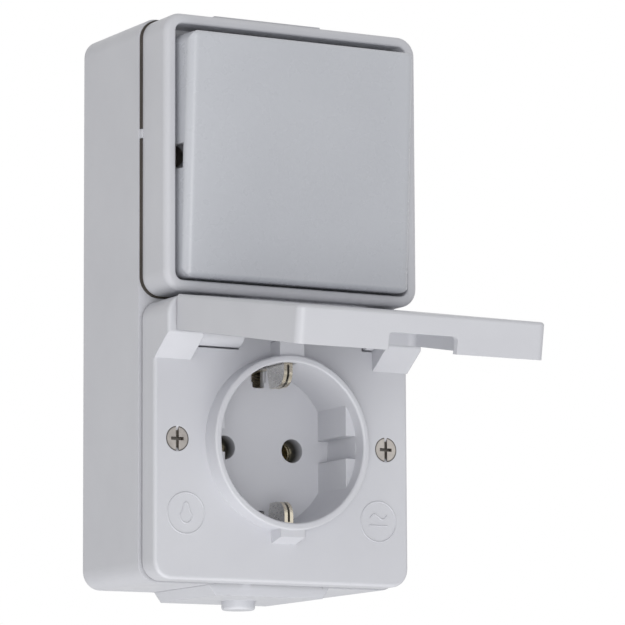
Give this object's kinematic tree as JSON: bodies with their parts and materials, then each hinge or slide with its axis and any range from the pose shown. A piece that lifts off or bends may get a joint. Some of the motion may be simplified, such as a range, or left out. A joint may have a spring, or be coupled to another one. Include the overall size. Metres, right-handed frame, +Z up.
{
  "type": "switch and socket combination",
  "caption": "Surface-mounted splash-proof housing with a rocker switch above an earthed round-pin socket under a flap lid.",
  "frame": {"origin": "middle of the flat back that lies on the wall, at the centre of the four wall screws", "axes": "+Z up along the wall, +Y into the wall, the front faces -Y"},
  "size_m": [0.0722, 0.1064, 0.1486],
  "materials": {
    "housing_grey": "fine satin",
    "entry_grey": "satin",
    "rocker_gloss": "glossy",
    "seal_rubber": "matt",
    "lid_rubber": "matt",
    "screw_steel": "nickelled",
    "spring_steel": "bright",
    "contact_brass": "bright",
    "insert_plastic": "moulded"
  },
  "bodies": {
    "housing": {"back_box": "housing_grey", "top_cable_entry": "entry_grey", "bottom_cable_entry": "entry_grey", "switch_gasket": "seal_rubber", "socket_gasket": "seal_rubber", "switch_frame": "housing_grey", "frame_screws": "screw_steel", "rocker_membrane": "seal_rubber", "switch_base": "insert_plastic", "lever_cradle": "contact_brass", "upper_fixed_contact": "contact_brass", "lower_fixed_contact": "contact_brass", "switch_terminals": "contact_brass", "switch_terminal_screws": "screw_steel", "switch_screws": "screw_steel", "socket_cover": "housing_grey", "cover_screws": "screw_steel", "socket_base": "insert_plastic", "live_contact": "contact_brass", "neutral_contact": "contact_brass", "earth_strap": "contact_brass", "socket_terminal_screws": "screw_steel", "base_screws": "screw_steel", "hinge_pin_left": "screw_steel", "hinge_pin_right": "screw_steel"},
    "lid": {"lid": "housing_grey", "lid_seal": "lid_rubber"},
    "rocker": {"rocker": "rocker_gloss"},
    "toggle": {"toggle": "insert_plastic", "plunger": "contact_brass", "toggle_spring": "spring_steel"},
    "contact_lever": {"contact_lever": "contact_brass"}
  },
  "joints": [
    {"name": "lid_hinge", "type": "hinge", "parent": "housing", "child": "lid", "pos_m": [0, -0.0381, -0.0084], "axis": [-1, 0, 0], "range_deg": [-80, 0]},
    {"name": "rocker_pivot", "type": "hinge", "parent": "housing", "child": "rocker", "pos_m": [0, -0.037, 0.03458], "axis": [1, 0, 0], "range_deg": [-6.6, 0]},
    {"name": "toggle_pivot", "type": "hinge", "parent": "housing", "child": "toggle", "pos_m": [0, -0.0278, 0.03458], "axis": [1, 0, 0], "range_deg": [-11.9, 0]},
    {"name": "lever_pivot", "type": "hinge", "parent": "housing", "child": "contact_lever", "pos_m": [0, -0.0142, 0.03458], "axis": [1, 0, 0], "range_deg": [0, 9.92]}
  ],
  "couplings": [
    {"joint": "toggle_pivot", "follows": "rocker_pivot", "ratio": 1.8},
    {"joint": "lever_pivot", "follows": "rocker_pivot", "ratio": -1.5}
  ]
}
